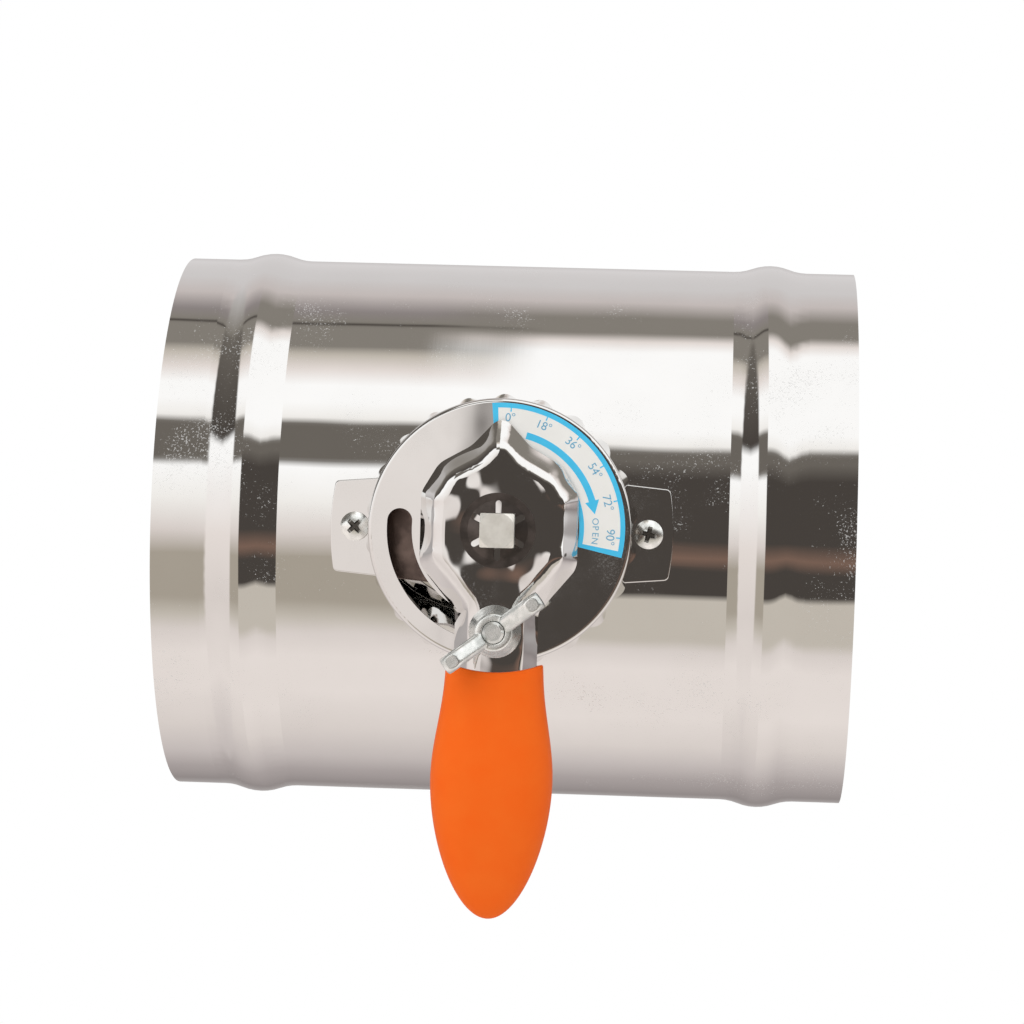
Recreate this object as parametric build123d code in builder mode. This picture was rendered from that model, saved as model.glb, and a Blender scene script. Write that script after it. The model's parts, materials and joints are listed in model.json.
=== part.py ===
"""Manual duct damper: a beaded round duct with a blade on a square shaft.

The duct's axis is +X, from the inlet at the origin. The shaft lies along Y at the middle of the duct.
The dial and the lever face -Y, and the lever hangs towards -Z with the blade closed.
"""

import os
from math import cos, pi, radians, sin, sqrt

from build123d import *

# Duct
duct_length = 200.0
duct_diameter = 160.0
duct_wall = 0.8
bead_inset = 25.0
bead_height = 2.0
bead_half_width = 11.0

# Clearances
running_clearance = 0.05
sliding_clearance = 0.1
seat_clearance = 0.02
hole_clearance = 0.2
bolt_hole_clearance = 0.3
shaft_hole_clearance = 0.7

# Square shaft
shaft_side = 9.5
shaft_corner = 0.5
shaft_front_rise = 4.5
shaft_rear_rise = 3.0
shaft_chamfer = 1.2
shaft_chamfer_run = 1.8
shaft_end_radius = 5.0

# Bushes
bush_radius = 8.0
bush_flange_radius = 11.0
bush_flange_thickness = 2.0

# Mounting bar
bar_length = 97.0
bar_waist = 34.0
bar_end_width = 25.6
bar_end_bulge = 1.2
bar_corner = 1.5
bar_thickness = 1.5

# Sheet-metal screws through the bar
bar_screw_pitch = 83.0
bar_screw_head_radius = 4.1
bar_screw_head_height = 2.6
bar_screw_rim_height = 0.9
bar_screw_shank_radius = 2.1
bar_screw_length = 9.5
bar_screw_left_turn = 45.0
bar_screw_right_turn = -15.0
recess_length = 4.8
recess_width = 1.4
recess_depth = 1.5
recess_taper = 12.0

# Dial
dial_radius = 37.0
dial_height = 11.0
dial_sheet = 1.0
dial_edge_radius = 1.2
dial_foot_radius = 37.6
dial_flute_depth = 0.9
dial_flute_height = 7.0
dial_flutes = 22
dial_points_per_flute = 8
slot_radius = 28.0
slot_width = 7.0
slot_margin_angle = 4.0

# Label on the dial
label_inner_radius = 22.0
label_outer_radius = 34.8
label_shift_x = 0.3
label_shift_y = 0.9
label_thickness = 0.15
label_start_angle = -12.6
label_sweep = 108.0

# Lever
lever_gap = 1.2
lever_depth = 6.0
lever_sheet = 1.2
lever_flare = 40.0
lever_edge_radius = 5.0
nose_height = 32.4
brow_x = 8.2
brow_y = 23.5
shoulder_x = 17.2
shoulder_y = 18.4
cheek_top = 10.2
head_half_width = 22.0
cheek_bottom = -10.0
neck_top = -22.5
neck_half_width = 11.6
tang_reach = 50.0
nose_radius = 5.0
brow_radius = 12.0
shoulder_radius = 10.0
cheek_radius = 8.0
neck_radius = 5.0
tang_corner = 4.0

# Grip
grip_length = 68.8
grip_mouth_half_width = 13.6
grip_swell_half_width = 17.0
grip_swell_place = 30.0
grip_tail_run = 18.0
grip_tip_half_width = 8.8
grip_flatness = 0.6
grip_mouth_gap = 0.6

# Star lock washers
lock_radius = 10.5
lock_thickness = 0.9
lock_rise = 0.9
lock_slots = 6
lock_slot_width = 1.8
lock_slot_reach = 8.4

# Rear washer
rear_washer_radius = 12.0
rear_washer_thickness = 1.5

# Spacer under the lever
spacer_radius = 9.0

# Clamp bolt and wing nut
bolt_radius = 3.0
bolt_head_radius = 7.0
bolt_head_height = 3.0
bolt_neck_side = 6.4
bolt_neck_height = 3.0
bolt_end_chamfer = 0.7
bolt_rise = 1.5
nut_base_radius = 7.0
nut_top_radius = 4.8
nut_height = 8.5
wing_thickness = 4.2
wing_reach = 16.8
wing_height = 15.5
wing_ear_radius = 3.4
wing_root_radius = 1.6
wing_edge_round = 1.4
wing_angle = 37.0

# Blade and its fasteners
blade_gap = 1.2
blade_thickness = 1.5
blade_notch_half_width = 13.0
blade_notch_gap = 0.5
blade_screw_pitch = 46.0
blade_screw_radius = 2.5
blade_screw_head_radius = 4.6
blade_screw_head_height = 3.0
blade_screw_rim_height = 1.0
blade_screw_end = 1.5
blade_screw_turn = 20.0
blade_nut_width = 8.0
blade_nut_height = 4.0

# Levels along the shaft, measured out from the duct's axis
duct_radius = duct_diameter / 2
bore_radius = duct_radius - duct_wall
bar_seat = duct_radius + seat_clearance
bar_top = bar_seat + bar_thickness
dial_seat = bar_top + seat_clearance
dial_face = dial_seat + dial_height
lever_foot = dial_face + lever_gap
lever_top = lever_foot + lever_depth
lever_ceiling = lever_top - lever_sheet
lock_seat = lever_top + seat_clearance
shaft_front = lock_seat + lock_thickness + lock_rise + shaft_front_rise
bush_seat = sqrt(bore_radius**2 - bush_flange_radius**2) - seat_clearance
rear_seat = duct_radius + seat_clearance
rear_lock_seat = rear_seat + rear_washer_thickness + seat_clearance
shaft_rear = rear_lock_seat + lock_thickness + lock_rise + shaft_rear_rise

# Sizes that follow from the ones above
dial_reach = dial_foot_radius + dial_flute_depth
mouth_radius = dial_reach + grip_mouth_gap
tang_end = -(mouth_radius + tang_reach)
shaft_fit = shaft_side + 2 * sliding_clearance
shaft_hole_radius = shaft_side / sqrt(2) + shaft_hole_clearance
grip_level = (lever_foot + lever_top) / 2
blade_seat = shaft_side / 2 + seat_clearance
blade_far_face = blade_seat + blade_thickness
blade_radius = sqrt((bore_radius - blade_gap) ** 2 - blade_far_face**2)
blade_screw_places = {"front": -blade_screw_pitch, "middle": 0, "rear": blade_screw_pitch}

# The front plane looks out of the dial: x along the duct, y up, and z out towards the lever
front = Plane(origin=(duct_length / 2, 0, 0), x_dir=(1, 0, 0), z_dir=(0, -1, 0))
rear = Plane(origin=(duct_length / 2, 0, 0), x_dir=(1, 0, 0), z_dir=(0, 1, 0))
blade_plane = Plane(origin=(duct_length / 2, 0, 0), x_dir=(0, 1, 0), z_dir=(1, 0, 0))
shaft_axis = Axis((duct_length / 2, 0, 0), (0, -1, 0))

os.makedirs("parts", exist_ok=True)


def save(piece, name):
    """Label a finished piece and write its file."""
    piece.part.label = name
    export_step(piece.part, f"parts/{name}.step")


def at(plane, x, y, level):
    """A copy of a plane moved to a point given in its own coordinates."""
    return Plane(origin=plane.from_local_coords((x, y, level)), x_dir=plane.x_dir, z_dir=plane.z_dir)


def section_of(seat):
    """The plane through a seat's axis: x runs out from the axis, y runs along it."""
    return Plane(origin=seat.origin, x_dir=seat.x_dir, z_dir=-seat.y_dir)


def s_bend(start, run, rise):
    """Add two tangent arcs that leave and arrive level, and give their end point."""
    middle = (start[0] + run / 2, start[1] + rise / 2)
    end = (start[0] + run, start[1] + rise)
    first = TangentArc(start, middle, tangent=(1, 0))
    TangentArc(middle, end, tangent=first % 1)
    return end


# Duct tube: one sheet line with two beads, thickened inwards and turned about the duct's axis
with BuildPart() as duct_tube:
    with BuildSketch(Plane.XY):
        with BuildLine():
            point = (0, duct_radius)
            for crest in (bead_inset, duct_length - bead_inset):
                foot = (crest - bead_half_width, duct_radius)
                Line(point, foot)
                point = s_bend(foot, bead_half_width, bead_height)
                point = s_bend(point, bead_half_width, -bead_height)
            Line(point, (duct_length, duct_radius))
            offset(amount=duct_wall, side=Side.RIGHT)
        make_face()
    revolve(axis=Axis.X)
    for side in (front, rear):
        with BuildSketch(side):
            Circle(bush_radius + running_clearance)
        extrude(amount=2 * duct_radius, mode=Mode.SUBTRACT)
    with BuildSketch(front):
        with GridLocations(bar_screw_pitch, 0, 2, 1):
            Circle(bar_screw_shank_radius + running_clearance)
    extrude(amount=2 * duct_radius, mode=Mode.SUBTRACT)
save(duct_tube, "duct_tube")

# Mounting bar: a flat bar, widest in the middle, with bowed ends
with BuildPart() as mounting_bar:
    with BuildSketch(front.offset(bar_seat)) as bar_outline:
        with BuildLine():
            edge_end = (bar_length / 2 - bar_end_bulge, bar_end_width / 2)
            Line((0, bar_waist / 2), edge_end)
            ThreePointArc(edge_end, (bar_length / 2, 0), (edge_end[0], -edge_end[1]))
            Line((edge_end[0], -edge_end[1]), (0, -bar_waist / 2))
            mirror(about=Plane.YZ)
        make_face()
        corners = bar_outline.vertices().group_by(Axis.X)
        fillet(corners[0] + corners[-1], bar_corner)
        Circle(bush_radius + running_clearance, mode=Mode.SUBTRACT)
        with GridLocations(bar_screw_pitch, 0, 2, 1):
            Circle(bar_screw_shank_radius + hole_clearance, mode=Mode.SUBTRACT)
    extrude(amount=bar_thickness)
save(mounting_bar, "mounting_bar")


def pan_screw(seat, head_radius, head_height, rim_height, shank_radius, length, point, turn):
    """A screw with a domed pan head and a cross recess, turned as it was driven."""
    with BuildPart() as screw:
        with BuildSketch(section_of(seat)):
            with BuildLine():
                crown = (0, head_height)
                rim = (head_radius, rim_height)
                TangentArc(crown, rim, tangent=(1, 0))
                Polyline(
                    rim,
                    (head_radius, 0),
                    (shank_radius, 0),
                    (shank_radius, point - length),
                    (0, -length),
                    crown,
                )
            make_face()
        revolve(axis=Axis(seat.origin, seat.z_dir))
        with BuildSketch(seat.offset(head_height)):
            Rectangle(recess_length, recess_width, rotation=turn)
            Rectangle(recess_width, recess_length, rotation=turn)
        extrude(amount=-recess_depth, taper=recess_taper, mode=Mode.SUBTRACT)
    return screw


# Bar screws: pointed screws through the bar into the duct
for name, place, turn in (
    ("bar_screw_left", -bar_screw_pitch / 2, bar_screw_left_turn),
    ("bar_screw_right", bar_screw_pitch / 2, bar_screw_right_turn),
):
    bar_screw = pan_screw(
        at(front, place, 0, bar_top + seat_clearance),
        bar_screw_head_radius,
        bar_screw_head_height,
        bar_screw_rim_height,
        bar_screw_shank_radius,
        bar_screw_length,
        2 * bar_screw_shank_radius,
        turn,
    )
    save(bar_screw, name)


def dial_form(inset):
    """The solid form of the dial, a round face over a fluted foot, shrunk by an inset."""
    with BuildPart() as form:
        with BuildSketch(front.offset(dial_seat)):
            with BuildLine():
                steps = dial_points_per_flute * dial_flutes
                rim = []
                for step in range(steps):
                    angle = 2 * pi * step / steps
                    radius = dial_foot_radius - inset - dial_flute_depth * cos(dial_flutes * angle)
                    rim.append((radius * cos(angle), radius * sin(angle)))
                Spline(*rim, periodic=True)
            make_face()
        with BuildSketch(front.offset(dial_seat + dial_flute_height)) as top:
            Circle(dial_radius - inset)
        loft()
        extrude(top.sketch, amount=dial_height - dial_flute_height - inset)
        fillet(form.edges().group_by(Axis.Y)[0], dial_edge_radius - inset)
    return form.part


# Dial cup: a drawn cup, open towards the duct, with the shaft's hole and the clamp's arc slot in its face
with BuildPart() as dial_cup:
    add(dial_form(0))
    add(dial_form(dial_sheet), mode=Mode.SUBTRACT)
    with BuildSketch(front.offset(dial_face)):
        Circle(shaft_hole_radius)
        with BuildLine(mode=Mode.PRIVATE):
            slot_line = CenterArc((0, 0), slot_radius, 180 - slot_margin_angle, 90 + 2 * slot_margin_angle)
        SlotArc(slot_line, slot_width)
    extrude(amount=-2 * dial_sheet, mode=Mode.SUBTRACT)
save(dial_cup, "dial_cup")

# Dial label: a thin sector on the dial's face, set a little high by hand
with BuildPart() as dial_label:
    with BuildSketch(front.offset(dial_face)):
        with BuildLine():
            label_centre = (label_shift_x, label_shift_y)
            outer = CenterArc(label_centre, label_outer_radius, label_start_angle, label_sweep)
            inner = CenterArc(label_centre, label_inner_radius, label_start_angle, label_sweep)
            Line(outer @ 0, inner @ 0)
            Line(outer @ 1, inner @ 1)
        make_face()
    extrude(amount=label_thickness)
save(dial_label, "dial_label")

# Lever outline at its foot, the right half from the nose down to the tang's end
lever_corners = (
    (0, nose_height, nose_radius, 1),
    (brow_x, brow_y, brow_radius, -1),
    (shoulder_x, shoulder_y, shoulder_radius, 1),
    (head_half_width, cheek_top, cheek_radius, 1),
    (head_half_width, cheek_bottom, cheek_radius, 1),
    (neck_half_width, neck_top, neck_radius, -1),
    (neck_half_width, tang_end, tang_corner, 1),
)


def lever_form(inset):
    """The solid pressed form of the lever, shrunk by an inset from its outer faces."""
    with BuildPart() as form:
        with BuildSketch(front.offset(lever_foot)):
            with BuildLine():
                Polyline(*[(x, y) for x, y, radius, swell in lever_corners], (0, tang_end))
                mirror(about=Plane.YZ)
            make_face()
            if inset:
                offset(amount=-inset / cos(radians(lever_flare)), kind=Kind.INTERSECTION)
        extrude(amount=lever_depth - inset, taper=lever_flare)
        for x, y, radius, swell in lever_corners:
            for side in {x, -x}:
                corner = Vertex(front.from_local_coords((side, y, lever_foot)))
                sloped = form.edges().group_by(Axis.Y)[1]
                fillet(sloped.sort_by_distance(corner)[0], radius - swell * inset)
        fillet(form.faces().sort_by(Axis.Y)[0].edges(), lever_edge_radius - inset)
    return form.part


# Lever plate: pressed sheet, open underneath, with a square hole for the shaft and a round one for the bolt
with BuildPart() as lever_plate:
    add(lever_form(0))
    add(lever_form(lever_sheet), mode=Mode.SUBTRACT)
    with BuildSketch(front.offset(lever_top)):
        Rectangle(shaft_fit, shaft_fit)
        with Locations((0, -slot_radius)):
            Circle(bolt_radius + bolt_hole_clearance)
    extrude(amount=-2 * lever_sheet, mode=Mode.SUBTRACT)
save(lever_plate, "lever_plate")

# Lever grip: a turned sleeve, flattened, with a pocket for the tang and a mouth that clears the dial
grip_plane = Plane(origin=front.from_local_coords((0, 0, grip_level)), x_dir=(0, 0, -1), z_dir=(0, -1, 0))
with BuildPart() as lever_grip:
    with BuildSketch(grip_plane):
        with BuildLine():
            throat = mouth_radius - grip_mouth_half_width
            swell = mouth_radius + grip_swell_place
            tip = mouth_radius + grip_length
            mouth = (mouth_radius, grip_mouth_half_width)
            Polyline((tip, 0), (throat, 0), (throat, grip_mouth_half_width), mouth)
            s_bend(mouth, grip_swell_place, grip_swell_half_width - grip_mouth_half_width)
            Bezier(
                (swell, grip_swell_half_width),
                (swell + grip_tail_run, grip_swell_half_width),
                (tip, grip_tip_half_width),
                (tip, 0),
            )
        make_face()
    revolve(axis=Axis(grip_plane.origin, grip_plane.x_dir))
    scale(by=(1, grip_flatness, 1), about=grip_plane.origin)
    add(lever_form(-sliding_clearance), mode=Mode.SUBTRACT)
    with BuildSketch(front):
        Circle(mouth_radius)
    extrude(amount=2 * duct_radius, mode=Mode.SUBTRACT)
save(lever_grip, "lever_grip")

# Damper shaft: a square bar right through the duct, with turned ends and holes for the blade's screws
with BuildPart() as damper_shaft:
    with BuildSketch(front.offset(-shaft_rear)):
        RectangleRounded(shaft_side, shaft_side, shaft_corner)
    extrude(amount=shaft_rear + shaft_front)
    for plane, end in ((front, shaft_front), (rear, shaft_rear)):
        with BuildSketch(section_of(plane.offset(end))):
            with BuildLine():
                Polyline(
                    (shaft_end_radius, 0),
                    (shaft_side, 0),
                    (shaft_side, -shaft_chamfer * (shaft_side - shaft_end_radius) / shaft_chamfer_run),
                    close=True,
                )
            make_face()
        revolve(axis=shaft_axis, mode=Mode.SUBTRACT)
    with BuildSketch(blade_plane):
        with Locations(*[(place, 0) for place in blade_screw_places.values()]):
            Circle(blade_screw_radius + sliding_clearance)
    extrude(amount=shaft_side, both=True, mode=Mode.SUBTRACT)
save(damper_shaft, "damper_shaft")


def lock_washer(seat):
    """A push-on star washer: a flat rim and a coned middle cut into prongs that bite on the square shaft."""
    with BuildPart() as washer:
        with BuildSketch(section_of(seat)):
            with BuildLine():
                Polyline(
                    (lock_radius, 0),
                    (lock_slot_reach, 0),
                    (shaft_side / 2, lock_rise),
                    (shaft_side / 2, lock_rise + lock_thickness),
                    (lock_slot_reach, lock_thickness),
                    (lock_radius, lock_thickness),
                    close=True,
                )
            make_face()
        revolve(axis=Axis(seat.origin, seat.z_dir))
        with BuildSketch(seat):
            Rectangle(shaft_fit, shaft_fit)
            with PolarLocations(lock_slot_reach / 2, lock_slots, start_angle=90):
                SlotOverall(lock_slot_reach, lock_slot_width)
        extrude(amount=lock_rise + lock_thickness, mode=Mode.SUBTRACT)
    return washer


save(lock_washer(front.offset(lock_seat)), "front_lock_washer")
save(lock_washer(rear.offset(rear_lock_seat)), "rear_lock_washer")


def bush(side, end):
    """A flanged bush with a square bore: the flange inside the duct, the sleeve out to its end level."""
    with BuildPart() as sleeve:
        with BuildSketch(side.offset(bush_seat)):
            Circle(bush_flange_radius)
        extrude(amount=-bush_flange_thickness)
        with BuildSketch(side.offset(bush_seat)):
            Circle(bush_radius)
        extrude(amount=end - bush_seat)
        with BuildSketch(side):
            Rectangle(shaft_fit, shaft_fit)
        extrude(amount=2 * duct_radius, mode=Mode.SUBTRACT)
    return sleeve


save(bush(front, bar_top), "front_bush")
save(bush(rear, duct_radius), "rear_bush")

# Rear washer: a plain washer on the duct's far side
with BuildPart() as rear_washer:
    with BuildSketch(rear.offset(rear_seat)):
        Circle(rear_washer_radius)
        Circle(shaft_hole_radius, mode=Mode.SUBTRACT)
    extrude(amount=rear_washer_thickness)
save(rear_washer, "rear_washer")

# Lever spacer: a sleeve that carries the lever above the dial's face
with BuildPart() as lever_spacer:
    with BuildSketch(front.offset(dial_face + sliding_clearance)):
        Circle(spacer_radius)
        Rectangle(shaft_fit, shaft_fit, mode=Mode.SUBTRACT)
    extrude(amount=lever_ceiling - seat_clearance - dial_face - sliding_clearance)
save(lever_spacer, "lever_spacer")

# Clamp bolt: a round head under the dial's face, a square neck in the slot and a plain shank
bolt_base = at(front, 0, -slot_radius, dial_face - dial_sheet - seat_clearance)
with BuildPart() as clamp_bolt:
    with BuildSketch(section_of(bolt_base)):
        with BuildLine():
            rim = (bolt_head_radius, 0)
            TangentArc((0, -bolt_head_height), rim, tangent=(1, 0))
            Line((0, -bolt_head_height), (0, 0))
            Line((0, 0), rim)
        make_face()
    revolve(axis=Axis(bolt_base.origin, bolt_base.z_dir))
    with BuildSketch(bolt_base):
        Rectangle(bolt_neck_side, bolt_neck_side)
    extrude(amount=bolt_neck_height)
    with BuildSketch(bolt_base):
        Circle(bolt_radius)
    extrude(amount=lever_top + nut_height + bolt_rise - dial_face + dial_sheet)
    chamfer(clamp_bolt.faces().sort_by(Axis.Y)[0].edges(), bolt_end_chamfer)
save(clamp_bolt, "clamp_bolt")

# Wing nut: a coned hub with two upswept wings
nut_seat = at(front, 0, -slot_radius, lever_top + seat_clearance)
wing_line = nut_seat.x_dir.rotate(Axis((0, 0, 0), nut_seat.z_dir), wing_angle)
wing_seat = Plane(origin=nut_seat.origin, x_dir=wing_line, z_dir=nut_seat.z_dir)
with BuildPart() as wing_nut:
    with BuildSketch(section_of(wing_seat)):
        with Locations((wing_reach - wing_ear_radius, wing_height - wing_ear_radius)):
            Circle(wing_ear_radius)
        with Locations((nut_top_radius - wing_root_radius, 2 * wing_root_radius)):
            Circle(wing_root_radius)
        with Locations((nut_top_radius - wing_root_radius, nut_height - wing_root_radius)):
            Circle(wing_root_radius)
        make_hull()
        mirror(about=Plane.YZ)
    extrude(amount=wing_thickness / 2, both=True)
    fillet(wing_nut.edges().filter_by(GeomType.LINE, reverse=True), wing_edge_round)
    with BuildSketch(section_of(wing_seat)):
        with BuildLine():
            Polyline((0, 0), (nut_base_radius, 0), (nut_top_radius, nut_height), (0, nut_height), close=True)
        make_face()
    revolve(axis=Axis(nut_seat.origin, nut_seat.z_dir))
    with BuildSketch(nut_seat):
        Circle(bolt_radius + running_clearance)
    extrude(amount=wing_height, mode=Mode.SUBTRACT)
save(wing_nut, "wing_nut")

# Damper blade: a disc beside the shaft, notched clear of the bushes
with BuildPart() as damper_blade:
    notch_floor = bush_seat - bush_flange_thickness - blade_notch_gap
    with BuildSketch(blade_plane.offset(blade_seat)):
        Circle(blade_radius)
        with Locations((notch_floor + bore_radius / 2, 0), (-notch_floor - bore_radius / 2, 0)):
            Rectangle(bore_radius, 2 * blade_notch_half_width, mode=Mode.SUBTRACT)
        with Locations(*[(place, 0) for place in blade_screw_places.values()]):
            Circle(blade_screw_radius + sliding_clearance, mode=Mode.SUBTRACT)
    extrude(amount=blade_thickness)
save(damper_blade, "damper_blade")

# Blade screws and nuts: through the blade and the shaft, with the nuts on the shaft's other flat
for name, place in blade_screw_places.items():
    nut_face = -shaft_side / 2 - seat_clearance
    blade_screw = pan_screw(
        at(blade_plane, place, 0, blade_far_face + seat_clearance),
        blade_screw_head_radius,
        blade_screw_head_height,
        blade_screw_rim_height,
        blade_screw_radius,
        blade_far_face + seat_clearance - nut_face + blade_nut_height + blade_screw_end,
        0,
        blade_screw_turn,
    )
    save(blade_screw, f"blade_screw_{name}")
    with BuildPart() as blade_nut:
        with BuildSketch(at(blade_plane, place, 0, nut_face)):
            RegularPolygon(blade_nut_width / 2, 6, major_radius=False)
            Circle(blade_screw_radius + running_clearance, mode=Mode.SUBTRACT)
        extrude(amount=-blade_nut_height)
    save(blade_nut, f"blade_nut_{name}")
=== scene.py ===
"""Looks of a manual duct damper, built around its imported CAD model.

The damper is a beaded duct section of polished stainless sheet. A mounting bar carries a round dial
with an arc slot and a printed label. A pressed lever with an orange grip turns the blade's square
shaft, and a wing nut clamps the lever to the dial.

Blender works in metres. Sizes below are in millimetres times MM, and places come from the frame.
"""

from __future__ import annotations

import json
import logging
import math
from dataclasses import dataclass, field, replace
from enum import Enum

import bmesh
import bpy
from mathutils import Matrix, Quaternion, Vector

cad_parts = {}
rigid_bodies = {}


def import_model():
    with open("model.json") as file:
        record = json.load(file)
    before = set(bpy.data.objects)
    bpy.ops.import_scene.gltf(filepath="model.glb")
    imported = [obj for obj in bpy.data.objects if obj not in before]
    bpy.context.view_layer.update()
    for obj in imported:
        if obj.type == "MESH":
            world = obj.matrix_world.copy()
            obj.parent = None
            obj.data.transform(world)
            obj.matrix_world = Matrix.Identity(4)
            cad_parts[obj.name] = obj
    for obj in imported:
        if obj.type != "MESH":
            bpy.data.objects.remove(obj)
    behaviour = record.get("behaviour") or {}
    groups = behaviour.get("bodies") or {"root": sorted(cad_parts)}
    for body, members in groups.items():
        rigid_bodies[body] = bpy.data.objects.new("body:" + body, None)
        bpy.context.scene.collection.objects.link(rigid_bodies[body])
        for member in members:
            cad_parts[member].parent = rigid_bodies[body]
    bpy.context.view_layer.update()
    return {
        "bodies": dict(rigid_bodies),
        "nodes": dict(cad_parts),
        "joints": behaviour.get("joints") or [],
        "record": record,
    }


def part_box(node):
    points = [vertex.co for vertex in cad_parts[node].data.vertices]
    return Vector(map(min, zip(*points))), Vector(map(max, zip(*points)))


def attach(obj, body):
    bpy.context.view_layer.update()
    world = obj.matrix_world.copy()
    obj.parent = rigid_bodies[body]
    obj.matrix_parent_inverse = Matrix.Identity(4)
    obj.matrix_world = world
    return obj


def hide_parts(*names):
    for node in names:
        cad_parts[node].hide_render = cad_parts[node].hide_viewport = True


LOG = logging.getLogger("duct_damper")
MM = 0.001
MERGE_DISTANCE = 0.001 * MM
THREAD_SIDES = 40
RIDGE_SIDES = 4
BLADE_SCREW_PLACES = ("front", "middle", "rear")
# A Mix node's sockets for colours go by number, because their names repeat
MIX_SHARE, MIX_FIRST, MIX_SECOND, MIX_RESULT = 0, 6, 7, 2


class Body(Enum):
    """The bodies that move apart, as the record names them."""

    DUCT = "duct"
    LEVER = "lever"
    NUT = "nut"
    BOLT = "bolt"


class Slot(Enum):
    """The record's material slots."""

    MIRROR = "mirror_stainless"
    BRIGHT = "bright_steel"
    ZINC = "zinc_steel"
    SPRING = "dark_spring_steel"
    NYLON = "nylon"
    LABEL = "label_film"
    GRIP = "orange_plastic"


def linear(colour: str) -> tuple[float, float, float, float]:
    """Turn an sRGB hex colour into a linear one.

    Args:
        colour: Six hex digits after a #.

    Returns:
        Red, green, blue and a full alpha.
    """
    channels = []
    for start in (1, 3, 5):
        value = int(colour[start : start + 2], 16) / 255
        channels.append(value / 12.92 if value <= 0.04045 else ((value + 0.055) / 1.055) ** 2.4)
    return (*channels, 1.0)


def per_metre(size_mm: float) -> float:
    """Give a texture scale at which one feature is that many millimetres wide."""
    return 1 / (size_mm * MM)


def add_node(
    tree: bpy.types.NodeTree, kind: str, inputs: dict | None = None, **settings: object
) -> bpy.types.Node:
    """Add a node with its settings, values and links.

    Args:
        tree: The node tree that takes the node.
        kind: Blender's name for the node's type.
        inputs: For each socket, by name or number, a value or the output that feeds it.
        settings: The node's own properties.

    Returns:
        The new node.
    """
    node = tree.nodes.new(kind)
    for name, value in settings.items():
        setattr(node, name, value)
    for socket, value in (inputs or {}).items():
        if isinstance(value, bpy.types.NodeSocket):
            tree.links.new(value, node.inputs[socket])
        else:
            node.inputs[socket].default_value = value
    return node


@dataclass(frozen=True)
class Finish:
    """A finish whose material is made once and shared."""

    name: str

    def material(self) -> bpy.types.Material:
        """Give the finish's material, made on first use.

        Returns:
            The shared material.
        """
        if self.name in bpy.data.materials:
            return bpy.data.materials[self.name]
        material = bpy.data.materials.new(self.name)
        material.use_nodes = True
        tree = material.node_tree
        tree.nodes.clear()
        add_node(tree, "ShaderNodeOutputMaterial", {"Surface": self.shader(tree).outputs["BSDF"]})
        return material

    def shader(self, tree: bpy.types.NodeTree) -> bpy.types.Node:
        """Build the finish's shader; each kind of finish has its own."""
        raise NotImplementedError


def clouds(
    tree: bpy.types.NodeTree,
    place: bpy.types.NodeSocket,
    size_mm: float,
    detail: float,
    tones: tuple[str, str],
    span: tuple[float, float] = (0.0, 1.0),
    breakup: float = 0.5,
) -> tuple[bpy.types.NodeSocket, bpy.types.NodeSocket]:
    """Build a cloudy pattern and the colour that follows it.

    Args:
        tree: The material's node tree.
        place: The coordinates that it lies on.
        size_mm: How wide one cloud is, in millimetres.
        detail: How many finer layers it has.
        tones: The colours of its low and its high places.
        span: The pattern's values at which those two colours are full.
        breakup: How strong the finer layers are.

    Returns:
        The pattern's output and the colour's.
    """
    pattern = add_node(
        tree,
        "ShaderNodeTexNoise",
        {"Vector": place, "Scale": per_metre(size_mm), "Detail": detail, "Roughness": breakup},
    ).outputs["Fac"]
    tint = add_node(tree, "ShaderNodeValToRGB", {"Fac": pattern})
    for stop, position, tone in zip(tint.color_ramp.elements, span, tones):
        stop.position = position
        stop.color = linear(tone)
    return pattern, tint.outputs["Color"]


def relief(
    tree: bpy.types.NodeTree,
    place: bpy.types.NodeSocket,
    scale: float,
    detail: float,
    depth: float,
    below: bpy.types.NodeSocket | None = None,
) -> bpy.types.NodeSocket:
    """Build a fine relief that bends a surface's reflections.

    Args:
        tree: The material's node tree.
        place: The coordinates that it lies on.
        scale: How many features there are in one unit of those coordinates.
        detail: How many finer layers it has.
        depth: How deep it is, in metres.
        below: A coarser relief that it lies on.

    Returns:
        The relief's normal.
    """
    height = add_node(
        tree, "ShaderNodeTexNoise", {"Vector": place, "Scale": scale, "Detail": detail}
    ).outputs["Fac"]
    inputs = {"Height": height, "Distance": depth, "Strength": 1.0}
    if below:
        inputs["Normal"] = below
    return add_node(tree, "ShaderNodeBump", inputs).outputs["Normal"]


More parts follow.
